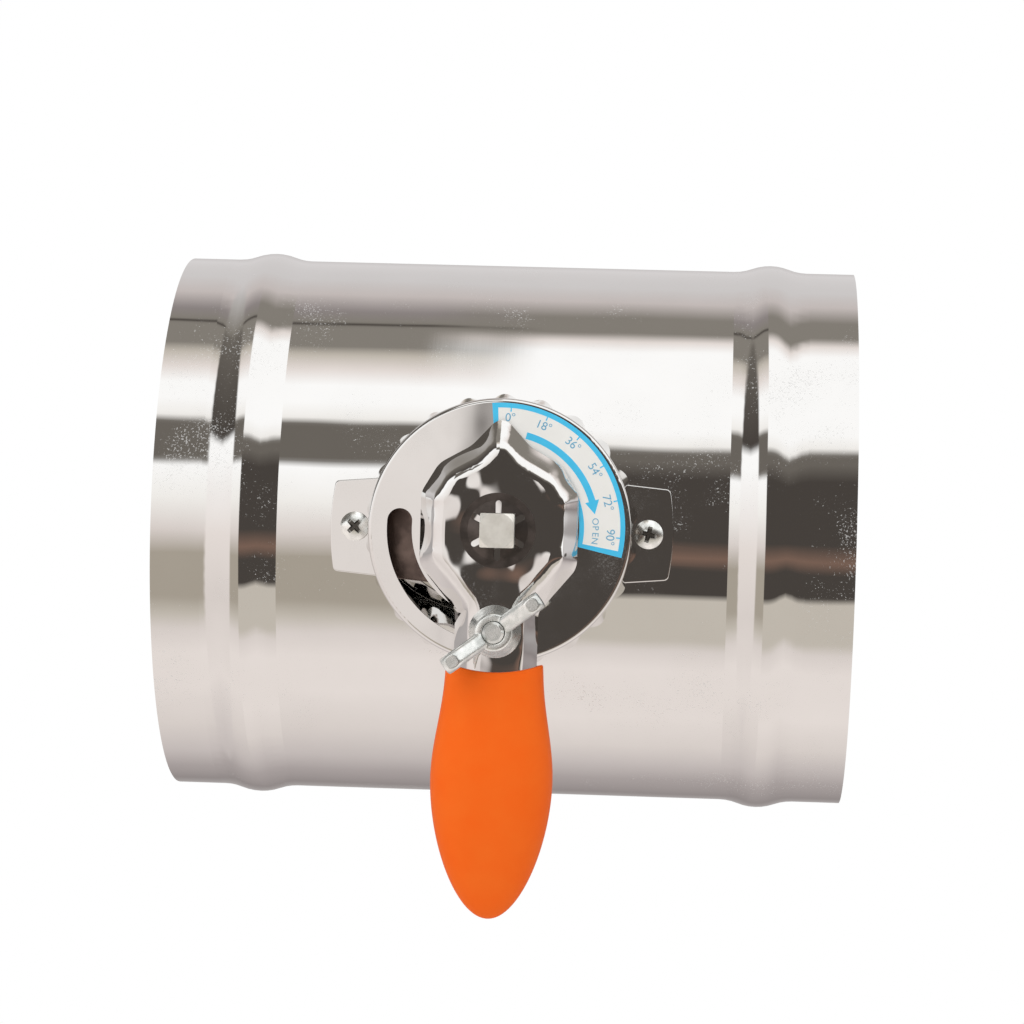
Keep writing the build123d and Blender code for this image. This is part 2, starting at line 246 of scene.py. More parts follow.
@dataclass(frozen=True)
class PolishedStainless(Finish):
    """Stainless sheet, rolled and buffed to a mirror.

    It shows what stands around it almost as a mirror does, a little warm, with hairline buffing
    streaks, hazy smudges from handling, pinpoints of dust and a slow waviness left by forming.
    """

    colour: str = "#E3E2E1"
    smudge_colour: str = "#DAD9D7"
    clear_roughness: float = 0.02
    hazy_roughness: float = 0.075
    smudge_mm: float = 24.0
    smudge_detail: float = 6.0
    smudge_breakup: float = 0.6
    haze_span: tuple[float, float] = (0.42, 0.72)
    streak_mm: tuple[float, float, float] = (0.7, 30.0, 30.0)
    streak_depth: float = 0.00035 * MM
    streak_detail: float = 2.0
    wave_mm: float = 42.0
    wave_depth: float = 0.3 * MM
    wave_detail: float = 1.0
    dust_mm: float = 0.55
    dust_detail: float = 1.0
    dust_span: tuple[float, float] = (0.372, 0.44)
    dust_metallic: float = 0.45

    def shader(self, tree: bpy.types.NodeTree) -> bpy.types.Node:
        """Build the mirror with its smudges, dust, streaks and waves.

        Args:
            tree: The material's node tree.

        Returns:
            The surface shader.
        """
        place = add_node(tree, "ShaderNodeTexCoord").outputs["Object"]
        tones = (self.colour, self.smudge_colour)
        smudges, tint = clouds(
            tree, place, self.smudge_mm, self.smudge_detail, tones, breakup=self.smudge_breakup
        )
        haze = add_node(
            tree,
            "ShaderNodeMapRange",
            {
                "Value": smudges,
                "From Min": self.haze_span[0],
                "From Max": self.haze_span[1],
                "To Min": self.clear_roughness,
                "To Max": self.hazy_roughness,
            },
        ).outputs["Result"]
        # Dust is finer than this on the real sheet; it shows as pale pinpoints where the mirror is dark
        dust = add_node(
            tree,
            "ShaderNodeTexNoise",
            {"Vector": place, "Scale": per_metre(self.dust_mm), "Detail": self.dust_detail},
        ).outputs["Fac"]
        gathered = add_node(tree, "ShaderNodeMath", {0: dust, 1: smudges}, operation="MULTIPLY").outputs[0]
        bare = add_node(
            tree,
            "ShaderNodeMapRange",
            {
                "Value": gathered,
                "From Min": self.dust_span[0],
                "From Max": self.dust_span[1],
                "To Min": 1.0,
                "To Max": self.dust_metallic,
            },
        ).outputs["Result"]
        # Buffing lines are a tenth of this width on the real sheet, too fine to show in a picture
        streak_place = add_node(
            tree,
            "ShaderNodeMapping",
            {"Vector": place, "Scale": tuple(per_metre(size) for size in self.streak_mm)},
        ).outputs["Vector"]
        waved = relief(tree, place, per_metre(self.wave_mm), self.wave_detail, self.wave_depth)
        # The streaks' coordinates are already in streak widths, so their scale is one
        streaked = relief(tree, streak_place, 1.0, self.streak_detail, self.streak_depth, waved)
        return add_node(
            tree,
            "ShaderNodeBsdfPrincipled",
            {"Base Color": tint, "Metallic": bare, "Roughness": haze, "Normal": streaked},
        )


@dataclass(frozen=True)
class WorkedSteel(Finish):
    """Plated, cut, blackened or mill-finish steel with a fine grain.

    It gives a broken, satin reflection: brighter and darker patches a few millimetres across, and a
    grain of small pits.
    """

    colour: str = "#E2E0DB"
    worn_colour: str = "#C9C6C0"
    roughness: float = 0.22
    worn_roughness: float = 0.38
    patch_mm: float = 4.0
    patch_detail: float = 4.0
    patch_span: tuple[float, float] = (0.35, 0.65)
    grain_mm: float = 0.5
    grain_depth: float = 0.01 * MM
    grain_detail: float = 3.0
    metallic: float = 1.0

    def shader(self, tree: bpy.types.NodeTree) -> bpy.types.Node:
        """Build the satin metal with its patches and grain.

        Args:
            tree: The material's node tree.

        Returns:
            The surface shader.
        """
        place = add_node(tree, "ShaderNodeTexCoord").outputs["Object"]
        tones = (self.worn_colour, self.colour)
        patches, tint = clouds(tree, place, self.patch_mm, self.patch_detail, tones, self.patch_span)
        satin = add_node(
            tree,
            "ShaderNodeMapRange",
            {
                "Value": patches,
                "From Min": self.patch_span[0],
                "From Max": self.patch_span[1],
                "To Min": self.worn_roughness,
                "To Max": self.roughness,
            },
        ).outputs["Result"]
        pitted = relief(tree, place, per_metre(self.grain_mm), self.grain_detail, self.grain_depth)
        return add_node(
            tree,
            "ShaderNodeBsdfPrincipled",
            {"Base Color": tint, "Metallic": self.metallic, "Roughness": satin, "Normal": pitted},
        )


@dataclass(frozen=True)
class RecessedSteel(WorkedSteel):
    """Plated steel screws with a driving recess, one each side of a middle.

    Their heads are bright, and round each recess the colour is painted darker as painted shade.
    """

    middle: tuple[float, float, float] = (0.0, 0.0, 0.0)
    recess: tuple[float, float, float] = (0.0, 0.0, 0.0)
    recess_shade: str = "#5C5955"
    shade_core: float = 2.4 * MM
    shade_reach: float = 3.0 * MM

    def shader(self, tree: bpy.types.NodeTree) -> bpy.types.Node:
        """Build the plated metal with painted shade round the place of each recess.

        Args:
            tree: The material's node tree.

        Returns:
            The surface shader.
        """
        surface = super().shader(tree)
        plating = surface.inputs["Base Color"].links[0].from_socket
        place = add_node(tree, "ShaderNodeTexCoord").outputs["Object"]
        offset = add_node(
            tree, "ShaderNodeVectorMath", {0: place, 1: self.middle}, operation="SUBTRACT"
        ).outputs["Vector"]
        either = add_node(tree, "ShaderNodeVectorMath", {0: offset}, operation="ABSOLUTE").outputs["Vector"]
        away = add_node(
            tree, "ShaderNodeVectorMath", {0: either, 1: self.recess}, operation="DISTANCE"
        ).outputs["Value"]
        unshaded = add_node(
            tree,
            "ShaderNodeMapRange",
            {"Value": away, "From Min": self.shade_core, "From Max": self.shade_reach},
        ).outputs["Result"]
        # Painted shade: the plating's colour darkens towards the place of each recess
        tint = add_node(
            tree,
            "ShaderNodeMix",
            {MIX_SHARE: unshaded, MIX_FIRST: linear(self.recess_shade), MIX_SECOND: plating},
            data_type="RGBA",
        ).outputs[MIX_RESULT]
        tree.links.new(tint, surface.inputs["Base Color"])
        return surface


@dataclass(frozen=True)
class MouldedPlastic(Finish):
    """Moulded or cast plastic and printed film.

    It has an even body colour with faint cloudy mottling, and a fine moulded skin that softens its
    highlights.
    """

    colour: str
    mottle_colour: str
    roughness: float
    mottle_mm: float = 9.0
    mottle_span: tuple[float, float] = (0.3, 0.7)
    skin_mm: float = 0.35
    skin_depth: float = 0.004 * MM
    softness: float = 0.0
    gloss: float = 0.5
    mottle_detail: float = 3.0
    skin_detail: float = 2.0

    def shader(self, tree: bpy.types.NodeTree) -> bpy.types.Node:
        """Build the plastic with its mottling and skin.

        Args:
            tree: The material's node tree.

        Returns:
            The surface shader.
        """
        place = add_node(tree, "ShaderNodeTexCoord").outputs["Object"]
        tones = (self.colour, self.mottle_colour)
        _, tint = clouds(tree, place, self.mottle_mm, self.mottle_detail, tones, self.mottle_span)
        textured = relief(tree, place, per_metre(self.skin_mm), self.skin_detail, self.skin_depth)
        return add_node(
            tree,
            "ShaderNodeBsdfPrincipled",
            {
                "Base Color": tint,
                "Roughness": self.roughness,
                "Normal": textured,
                "Subsurface Weight": self.softness,
                "Specular IOR Level": self.gloss,
            },
        )


# Duct sheet streaks run round the duct, because the strip was buffed along its length before rolling
DUCT_SHEET = PolishedStainless("rolled_polished_stainless_sheet", smudge_mm=27.0)
# Pressed pieces are buffed by hand after pressing, so their faces are wavier
PRESSED_SHEET = PolishedStainless(
    "pressed_polished_stainless_sheet",
    streak_mm=(20.0, 20.0, 0.8),
    wave_mm=14.0,
    wave_depth=0.05 * MM,
    dust_metallic=0.9,
)
# The lever is drawn deeper, and its panel mirrors what is around it in broad swirls
LEVER_SHEET = PolishedStainless(
    "deep_drawn_polished_stainless_sheet",
    streak_mm=(20.0, 20.0, 0.8),
    wave_mm=16.0,
    wave_depth=1.5 * MM,
    dust_metallic=0.9,
)
# The bar's middle under the dial is painted a dull brown grey, as painted shade seen through the dial's slot
SLOT_SHADE_SHEET = WorkedSteel(
    "painted_shade_stainless_sheet",
    colour="#94827A",
    worn_colour="#80706A",
    roughness=0.3,
    worn_roughness=0.45,
)
# The blade is cut from sheet and only wiped, so its mirror is hazy
BLADE_SHEET = PolishedStainless(
    "cut_polished_stainless_sheet", clear_roughness=0.08, hazy_roughness=0.2, streak_mm=(20.0, 0.8, 40.0)
)
# Sawn and turned ends scatter light, and their near-white colour with half-diffuse metal also paints in a
# bright highlight where the steel is cut
BRIGHT_STEEL_AND_HIGHLIGHT = WorkedSteel(
    "bright_drawn_steel_painted_highlight",
    colour="#F3F0E8",
    worn_colour="#DCD8CF",
    roughness=0.36,
    worn_roughness=0.55,
    metallic=0.55,
)
# Zinc plating is a cool blue white, a little cloudy
ZINC_PLATE = WorkedSteel(
    "bright_zinc_plated_steel",
    colour="#EDEEEB",
    worn_colour="#D6D9D6",
    roughness=0.18,
    worn_roughness=0.36,
    patch_mm=2.6,
    metallic=0.8,
)
# Small screws keep a brighter plating, and their recesses are painted darker as painted shade
SHADED_ZINC_SCREW = RecessedSteel(
    "barrel_zinc_plated_steel_recess_shade",
    colour="#F1F2EF",
    worn_colour="#DFE1DE",
    roughness=0.2,
    worn_roughness=0.34,
    patch_mm=2.0,
    grain_depth=0.004 * MM,
)
# Oil blackening leaves spring steel a warm near black with a dull sheen
BLACK_SPRING = WorkedSteel(
    "oil_blackened_spring_steel",
    colour="#5F5753",
    worn_colour="#4B4541",
    roughness=0.4,
    worn_roughness=0.54,
    metallic=0.85,
)
# Soft vinyl is an even, strong orange that hardly shines
ORANGE_GRIP = MouldedPlastic("moulded_orange_soft_vinyl", "#FF6810", "#FF6E18", 0.5, gloss=0.16)
# Nylon without pigment is a milky cream that lets a little light in
NATURAL_NYLON = MouldedPlastic("moulded_natural_nylon", "#E8E3D5", "#DFD8C8", 0.38, softness=0.1)
# Label film is a smooth near white, and its two inks lie on it as flat, even blues
LABEL_FILM = MouldedPlastic("printed_white_vinyl_film", "#F7F5F1", "#F2F0EB", 0.35, skin_mm=0.8)
SKY_INK = MouldedPlastic("screen_printed_sky_blue_ink", "#3FC4F2", "#4ACAF6", 0.35, mottle_mm=3.0)
NUMBER_INK = MouldedPlastic("screen_printed_steel_blue_ink", "#63A9CB", "#74B4D2", 0.35, mottle_mm=3.0)


def fit(piece: bpy.types.Object, body: Body, slot: Slot, *nodes: str) -> None:
    """Let a finished piece ride on its body and stand for CAD nodes.

    Args:
        piece: The finished piece, with its place in its mesh.
        body: The body that carries it.
        slot: The record's material slot for its finish; not used.
        nodes: The CAD nodes that it replaces.
    """
    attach(piece, body.value)
    if nodes:
        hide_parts(*nodes)
    LOG.info("%s: %d faces on %s", piece.name, len(piece.data.polygons), body.value)


def coat(frame: dict, finish: Finish, *nodes: str) -> None:
    """Give CAD nodes a finish in place of their plain material.

    Args:
        frame: The loaded frame.
        finish: The finish that they get.
        nodes: The nodes' names.
    """
    for name in nodes:
        materials = frame["nodes"][name].data.materials
        materials.clear()
        materials.append(finish.material())
        LOG.info("%s: %s", name, finish.name)


def new_piece(name: str, mesh: bpy.types.Mesh, finish: Finish) -> bpy.types.Object:
    """Put a mesh into the scene as a piece with one finish.

    Args:
        name: The piece's name.
        mesh: Its mesh, in the frame.
        finish: Its finish.

    Returns:
        The new object, at the origin.
    """
    mesh.name = name
    mesh.materials.clear()
    mesh.materials.append(finish.material())
    piece = bpy.data.objects.new(name, mesh)
    bpy.context.scene.collection.objects.link(piece)
    return piece


def close_form(form: bmesh.types.BMesh, smooth: bool) -> bpy.types.Mesh:
    """Merge a form's doubles, turn its faces outwards and make it a mesh.

    Args:
        form: The form, which is freed.
        smooth: Whether its faces shade as one curved skin.

    Returns:
        The finished mesh.
    """
    bmesh.ops.remove_doubles(form, verts=form.verts[:], dist=MERGE_DISTANCE)
    bmesh.ops.recalc_face_normals(form, faces=form.faces[:])
    for face in form.faces:
        face.smooth = smooth
    mesh = bpy.data.meshes.new("form")
    form.to_mesh(mesh)
    form.free()
    return mesh


def node_form(frame: dict, name: str) -> bmesh.types.BMesh:
    """Copy a CAD node's mesh as a form whose loose triangles are merged.

    Args:
        frame: The loaded frame.
        name: The node's name.

    Returns:
        The merged form.
    """
    form = bmesh.new()
    form.from_mesh(frame["nodes"][name].data)
    bmesh.ops.remove_doubles(form, verts=form.verts[:], dist=MERGE_DISTANCE)
    return form


def evaluated(blank: bpy.types.Object) -> bpy.types.Mesh:
    """Keep the shape that an object's modifiers give as a plain mesh.

    Args:
        blank: The object, which is removed.

    Returns:
        The mesh.
    """
    bpy.context.scene.collection.objects.link(blank)
    ready = blank.evaluated_get(bpy.context.evaluated_depsgraph_get())
    mesh = bpy.data.meshes.new_from_object(ready)
    bpy.data.objects.remove(blank)
    return mesh


def even_shading(form: bmesh.types.BMesh, sharp_angle: float) -> bpy.types.Mesh:
    """Make a sheet form a mesh whose flat faces mirror flat and whose bends mirror round.

    Args:
        form: The form, which is freed.
        sharp_angle: The angle in degrees past which an edge stays sharp.

    Returns:
        The mesh, with normals weighted by the size of its faces.
    """
    for edge in form.edges:
        edge.smooth = edge.calc_face_angle(0.0) < math.radians(sharp_angle)
    blank = bpy.data.objects.new("blank", close_form(form, True))
    weight = blank.modifiers.new("weight", "WEIGHTED_NORMAL")
    weight.keep_sharp = True
    return evaluated(blank)


def new_tree(name: str, sizes: tuple[str, ...]) -> tuple[bpy.types.NodeTree, dict]:
    """Start a Geometry Nodes tree with named sizes and a material.

    Args:
        name: The tree's name.
        sizes: The names of its number inputs.

    Returns:
        The tree and its input sockets by name.
    """
    tree = bpy.data.node_groups.new(name, "GeometryNodeTree")
    for size in sizes:
        tree.interface.new_socket(size, in_out="INPUT", socket_type="NodeSocketFloat")
    tree.interface.new_socket("Material", in_out="INPUT", socket_type="NodeSocketMaterial")
    tree.interface.new_socket("Geometry", in_out="OUTPUT", socket_type="NodeSocketGeometry")
    return tree, {socket.name: socket for socket in tree.nodes.new("NodeGroupInput").outputs}


def end_tree(tree: bpy.types.NodeTree, made: bpy.types.NodeSocket, material: bpy.types.NodeSocket) -> None:
    """End a Geometry Nodes tree: real geometry, in its material, at the output.

    Args:
        tree: The tree.
        made: What it has made.
        material: Its material input.
    """
    real = add_node(tree, "GeometryNodeRealizeInstances", {"Geometry": made})
    coated = add_node(
        tree, "GeometryNodeSetMaterial", {"Geometry": real.outputs["Geometry"], "Material": material}
    )
    add_node(tree, "NodeGroupOutput", {"Geometry": coated.outputs["Geometry"]})


def grow(tree: bpy.types.NodeTree, values: dict[str, object]) -> bpy.types.Mesh:
    """Run a Geometry Nodes tree and keep its result as a plain mesh.

    Args:
        tree: The tree to run.
        values: A value for each of the tree's named inputs.

    Returns:
        The mesh that it makes.
    """
    seed = bpy.data.objects.new("seed", bpy.data.meshes.new("seed"))
    modifier = seed.modifiers.new("grow", "NODES")
    modifier.node_group = tree
    for socket in tree.interface.items_tree:
        if socket.in_out == "INPUT":
            modifier[socket.identifier] = values[socket.name]
    return evaluated(seed)


def joined(meshes: list[bpy.types.Mesh], smooth: bool = False) -> bpy.types.Mesh:
    """Join meshes that lie in the frame into one.

    Args:
        meshes: The meshes to join.
        smooth: Whether the joined faces shade as curved skins.

    Returns:
        One mesh that holds them all.
    """
    form = bmesh.new()
    for mesh in meshes:
        form.from_mesh(mesh)
    for face in form.faces:
        face.smooth = smooth
    whole = bpy.data.meshes.new("joined")
    form.to_mesh(whole)
    form.free()
    return whole


def front_place(middle: Vector, level: float) -> Matrix:
    """Give the placing of flat work on the dial's side: x along the duct, y up, z out of the dial.

    Args:
        middle: The duct's middle.
        level: How far out from the duct's axis the work lies.

    Returns:
        The placing in the frame.
    """
    return Matrix.Translation(middle + Vector((0, -level, 0))) @ Matrix.Rotation(math.pi / 2, 4, "X")


def degree_mark_tree() -> bpy.types.NodeTree:
    """Make the tree that sets short radial marks along an arc.

    Returns:
        The tree, whose marks lie flat round its origin.
    """
    tree, sizes = new_tree(
        "degree_marks", ("Radius", "Start Angle", "Sweep Angle", "Count", "Length", "Width", "Thickness")
    )
    arc = add_node(
        tree,
        "GeometryNodeCurveArc",
        {
            "Resolution": sizes["Count"],
            "Radius": sizes["Radius"],
            "Start Angle": sizes["Start Angle"],
            "Sweep Angle": sizes["Sweep Angle"],
        },
    )
    points = add_node(tree, "GeometryNodeCurveToPoints", {"Curve": arc.outputs["Curve"]}, mode="EVALUATED")
    size = add_node(
        tree,
        "ShaderNodeCombineXYZ",
        {"X": sizes["Length"], "Y": sizes["Width"], "Z": sizes["Thickness"]},
    )
    mark = add_node(tree, "GeometryNodeMeshCube", {"Size": size.outputs["Vector"]})
    place = add_node(tree, "GeometryNodeInputPosition")
    outward = add_node(
        tree, "FunctionNodeAlignRotationToVector", {"Vector": place.outputs["Position"]}, axis="X"
    )
    marks = add_node(
        tree,
        "GeometryNodeInstanceOnPoints",
        {
            "Points": points.outputs["Points"],
            "Instance": mark.outputs["Mesh"],
            "Rotation": outward.outputs["Rotation"],
        },
    )
    end_tree(tree, marks.outputs["Instances"], sizes["Material"])
    return tree


def thread_tree() -> bpy.types.NodeTree:
    """Make the tree that winds a thread's ridge up from its origin.

    Returns:
        The tree, whose thread stands along its own z axis.
    """
    tree, sizes = new_tree("thread_ridge", ("Radius", "Pitch", "Length", "Ridge"))
    turns = add_node(tree, "ShaderNodeMath", {0: sizes["Length"], 1: sizes["Pitch"]}, operation="DIVIDE")
    helix = add_node(
        tree,
        "GeometryNodeCurveSpiral",
        {
            "Resolution": THREAD_SIDES,
            "Rotations": turns.outputs[0],
            "Start Radius": sizes["Radius"],
            "End Radius": sizes["Radius"],
            "Height": sizes["Length"],
        },
    )
    ridge = add_node(
        tree, "GeometryNodeCurvePrimitiveCircle", {"Resolution": RIDGE_SIDES, "Radius": sizes["Ridge"]}
    )
    swept = add_node(
        tree,
        "GeometryNodeCurveToMesh",
        {"Curve": helix.outputs["Curve"], "Profile Curve": ridge.outputs["Curve"], "Fill Caps": True},
    )
    end_tree(tree, swept.outputs["Mesh"], sizes["Material"])
    return tree


@dataclass
class DuctSection:
    """The rolled and beaded tube, the part's largest mirror."""

    sheet: Finish = DUCT_SHEET

    def dress(self, frame: dict) -> None:
        """Polish the tube."""
        coat(frame, self.sheet, "duct_tube")


@dataclass
class Dial:
    """The dial's cup and its label, with a border, degree marks, numbers, and an arrow to OPEN."""

    middle: Vector
    face: float
    inner_radius: float = 22.0 * MM
    outer_radius: float = 34.8 * MM
    shift: tuple[float, float] = (0.3 * MM, 0.9 * MM)
    start_angle: float = -12.6
    sweep_angle: float = 108.0
    border: float = 1.35 * MM
    ink: float = 0.03 * MM
    zero_angle: float = 86.4
    full_turn: float = 90.0
    step_angle: float = 18.0
    number_radius: float = 30.8 * MM
    number_height: float = 2.3 * MM
    mark_length: float = 1.1 * MM
    mark_width: float = 0.35 * MM
    arrow_radius: float = 26.6 * MM
    arrow_tail_angle: float = 75.8
    arrow_neck_angle: float = 17.5
    arrow_tip_angle: float = 9.4
    arrow_width: float = 1.9 * MM
    arrow_head_width: float = 4.0 * MM
    word: str = "OPEN"
    word_height: float = 1.75 * MM
    word_middle_angle: float = -0.8
    letter_angle: float = 3.9
    arc_step: float = 1.0
    # Height of a capital in Blender's own font, as a share of the text's size
    capital_share: float = 0.69

    def dress(self, frame: dict) -> None:
        """Polish the cup and whiten the label's film."""
        coat(frame, PRESSED_SHEET, "dial_cup")
        coat(frame, LABEL_FILM, "dial_label")

    def build(self) -> None:
        """Print the label in its two inks."""
        steps = round(self.full_turn / self.step_angle)
        words = []
        for step in range(steps + 1):
            turned = step * self.step_angle
            number = f"{round(turned)}\u00b0"
            words.append(self.text(number, self.zero_angle - turned, self.number_radius, self.number_height))
        first = self.word_middle_angle + self.letter_angle * (len(self.word) - 1) / 2
        for index, letter in enumerate(self.word):
            angle = first - index * self.letter_angle
            words.append(self.text(letter, angle, self.arrow_radius, self.word_height))
        numbers = new_piece("label_numbers", joined(words), NUMBER_INK)
        fit(numbers, Body.DUCT, Slot.LABEL)
        shapes = [self.sector(*band) for band in self.bands()]
        shapes += [self.arrow(), self.marks(steps + 1)]
        border = new_piece("label_border_and_arrow", joined(shapes), SKY_INK)
        fit(border, Body.DUCT, Slot.LABEL)

    def bands(self) -> list[tuple[float, float, float, float]]:
        """Give the border's four strips.

        Returns:
            For each strip its inner and outer radius, first angle and sweep.
        """
        end_turn = math.degrees(2 * self.border / (self.inner_radius + self.outer_radius))
        last = self.start_angle + self.sweep_angle
        inner = self.inner_radius + self.border
        outer = self.outer_radius - self.border
        return [
            (outer, self.outer_radius, self.start_angle, self.sweep_angle),
            (self.inner_radius, inner, self.start_angle, self.sweep_angle),
            (inner, outer, self.start_angle, end_turn),
            (inner, outer, last - end_turn, end_turn),
        ]

    def flat(self, outline: list[tuple[float, float]]) -> bpy.types.Mesh:
        """Lay an outline on the label as a thin film of ink.

        Args:
            outline: The outline's points round the label's centre.

        Returns:
            The film's mesh, in the frame.
        """
        form = bmesh.new()
        face = form.faces.new([form.verts.new((x, y, 0)) for x, y in outline])
        raised = bmesh.ops.extrude_face_region(form, geom=[face])
        for corner in raised["geom"]:
            if isinstance(corner, bmesh.types.BMVert):
                corner.co.z += self.ink
        form.transform(self.place(0.0))
        return close_form(form, False)

    def place(self, lift: float) -> Matrix:
        """Give the placing of flat work round the label's own centre, a little off the shaft.

        Args:
            lift: How far above the label's face the work lies.

        Returns:
            The placing in the frame.
        """
        return front_place(self.middle, self.face + lift) @ Matrix.Translation((*self.shift, 0.0))

    def around(self, radius: float, angle: float) -> tuple[float, float]:
        """Give the point at a radius and an angle in degrees."""
        return (radius * math.cos(math.radians(angle)), radius * math.sin(math.radians(angle)))

    def arc(self, radius: float, start: float, sweep: float) -> list[tuple[float, float]]:
        """Give points along an arc.

        Args:
            radius: The arc's radius.
            start: Its first angle in degrees.
            sweep: How far it runs, in degrees.

        Returns:
            The points in order.
        """
        count = max(2, math.ceil(abs(sweep) / self.arc_step))
        return [self.around(radius, start + sweep * step / count) for step in range(count + 1)]

    def sector(self, inner: float, outer: float, start: float, sweep: float) -> bpy.types.Mesh:
        """Make a strip of the border between two radii and two angles."""
        return self.flat(self.arc(outer, start, sweep) + self.arc(inner, start + sweep, -sweep))

    def arrow(self) -> bpy.types.Mesh:
        """Make the curved arrow that shows which way the blade opens.

        Returns:
            The arrow's mesh, in the frame.
        """
        sweep = self.arrow_neck_angle - self.arrow_tail_angle
        outer = self.arrow_radius + self.arrow_width / 2
        inner = self.arrow_radius - self.arrow_width / 2
        outline = self.arc(outer, self.arrow_tail_angle, sweep)
        outline.append(self.around(self.arrow_radius + self.arrow_head_width / 2, self.arrow_neck_angle))
        outline.append(self.around(self.arrow_radius, self.arrow_tip_angle))
        outline.append(self.around(self.arrow_radius - self.arrow_head_width / 2, self.arrow_neck_angle))
        outline += self.arc(inner, self.arrow_neck_angle, -sweep)
        return self.flat(outline)

    def marks(self, count: int) -> bpy.types.Mesh:
        """Make the degree marks that stand in from the border.

        Args:
            count: How many marks there are.

        Returns:
            Their mesh, in the frame.
        """
        mesh = grow(
            degree_mark_tree(),
            {
                "Radius": self.outer_radius - self.border - self.mark_length / 2,
                "Start Angle": math.radians(self.zero_angle),
                "Sweep Angle": -math.radians(self.step_angle * (count - 1)),
                "Count": float(count),
                "Length": self.mark_length,
                "Width": self.mark_width,
                "Thickness": self.ink,
                "Material": SKY_INK.material(),
            },
        )
        mesh.transform(self.place(self.ink / 2))
        return mesh

    def text(self, words: str, angle: float, radius: float, height: float) -> bpy.types.Mesh:
        """Print words with their tops outwards.

        Args:
            words: What is printed.
            angle: Where round the dial, in degrees.
            radius: How far their middle lies from the dial's centre.
            height: How tall a capital is.

        Returns:
            The words' mesh, in the frame.
        """
        curve = bpy.data.curves.new("words", "FONT")
        curve.body = words
        curve.size = height / self.capital_share
        curve.align_x = "CENTER"
        curve.extrude = self.ink / 2
        mesh = evaluated(bpy.data.objects.new("words", curve))
        upright = math.pi / 2
        turn = Matrix.Rotation(math.radians(angle) - upright, 4, "Z")
        foot = Matrix.Translation((0, radius - height / 2, 0))
        mesh.transform(self.place(self.ink / 2) @ turn @ foot)
        return mesh


@dataclass(frozen=True)
class Thread:
    """One kind of thread: its ridge's radius, its climb in a turn and half its ridge's width."""

    radius: float
    pitch: float
    ridge: float
    finish: Finish

    def wind(self, tree: bpy.types.NodeTree, start: Vector, way: Vector, length: float) -> bpy.types.Mesh:
        """Wind one thread.

        Args:
            tree: The thread tree.
            start: Where the thread begins, on the screw's axis.
            way: The way that it climbs.
            length: How far it climbs.

        Returns:
            The thread's mesh, in the frame.
        """
        values = {"Radius": self.radius, "Pitch": self.pitch, "Ridge": self.ridge, "Length": length}
        mesh = grow(tree, values | {"Material": self.finish.material()})
        mesh.transform(Matrix.Translation(start) @ way.to_track_quat("Z", "Y").to_matrix().to_4x4())
        return mesh


@dataclass
class Threads:
    """The threads of the screws and the bolt, wound on their plain CAD shanks."""

    middle: Vector
    sheet_thread: Thread = Thread(2.1 * MM, 1.5 * MM, 0.36 * MM, BRIGHT_STEEL_AND_HIGHLIGHT)
    screw_thread: Thread = Thread(2.42 * MM, 0.9 * MM, 0.24 * MM, BRIGHT_STEEL_AND_HIGHLIGHT)
    bolt_thread: Thread = Thread(2.86 * MM, 0.9 * MM, 0.24 * MM, ZINC_PLATE)
    point_share: float = 0.42
    point_lap: float = 0.6 * MM
    head_height: float = 2.6 * MM
    screw_end: float = 0.2 * MM
    nut_gap: float = 0.3 * MM
    bolt_end: float = 0.8 * MM
    bolt_length: float = 1.6 * MM

    def build(self) -> None:
        """Wind the thread of every screw and bolt, one piece for each body."""
        tree = thread_tree()
        self.keep("bar_screw_threads", self.bar_screws(tree), self.sheet_thread, Body.DUCT, Slot.BRIGHT)
        self.keep("blade_screw_threads", self.blade_screws(tree), self.screw_thread, Body.LEVER, Slot.BRIGHT)
        low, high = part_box("clamp_bolt")
        start = Vector(((low.x + high.x) / 2, low.y + self.bolt_end, (low.z + high.z) / 2))
        bolt = self.bolt_thread.wind(tree, start, Vector((0, 1, 0)), self.bolt_length)
        fit(new_piece("clamp_bolt_thread", bolt, self.bolt_thread.finish), Body.BOLT, Slot.ZINC)

    def keep(self, name: str, wound: list[bpy.types.Mesh], thread: Thread, body: Body, slot: Slot) -> None:
        """Join the threads of one body into a piece.

        Args:
            name: The piece's name.
            wound: The threads' meshes.
            thread: Their kind.
            body: The body that carries them.
            slot: Their material slot.
        """
        fit(new_piece(name, joined(wound, True), thread.finish), body, slot)

    def bar_screws(self, tree: bpy.types.NodeTree) -> list[bpy.types.Mesh]:
        """Wind the bar's two screws, from their points out to their heads.

        Args:
            tree: The thread tree.

        Returns:
            The threads' meshes, in the frame.
        """
        wound = []
        for name in ("bar_screw_left", "bar_screw_right"):
            low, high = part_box(name)
            depth = high.y - low.y
            point = depth * self.point_share
            start = Vector(((low.x + high.x) / 2, high.y - point + self.point_lap, self.middle.z))
            length = depth - point - self.head_height
            wound.append(self.sheet_thread.wind(tree, start, Vector((0, -1, 0)), length))
        return wound

    def blade_screws(self, tree: bpy.types.NodeTree) -> list[bpy.types.Mesh]:
        """Wind the blade's screws, from their ends to their nuts.

        Args:
            tree: The thread tree.

        Returns:
            The threads' meshes, in the frame.
        """
        wound = []
        for place in BLADE_SCREW_PLACES:
            low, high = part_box(f"blade_screw_{place}")
            nut_low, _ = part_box(f"blade_nut_{place}")
            start = Vector((low.x + self.screw_end, (low.y + high.y) / 2, (low.z + high.z) / 2))
            length = nut_low.x - low.x - self.nut_gap
            wound.append(self.screw_thread.wind(tree, start, Vector((1, 0, 0)), length))
        return wound


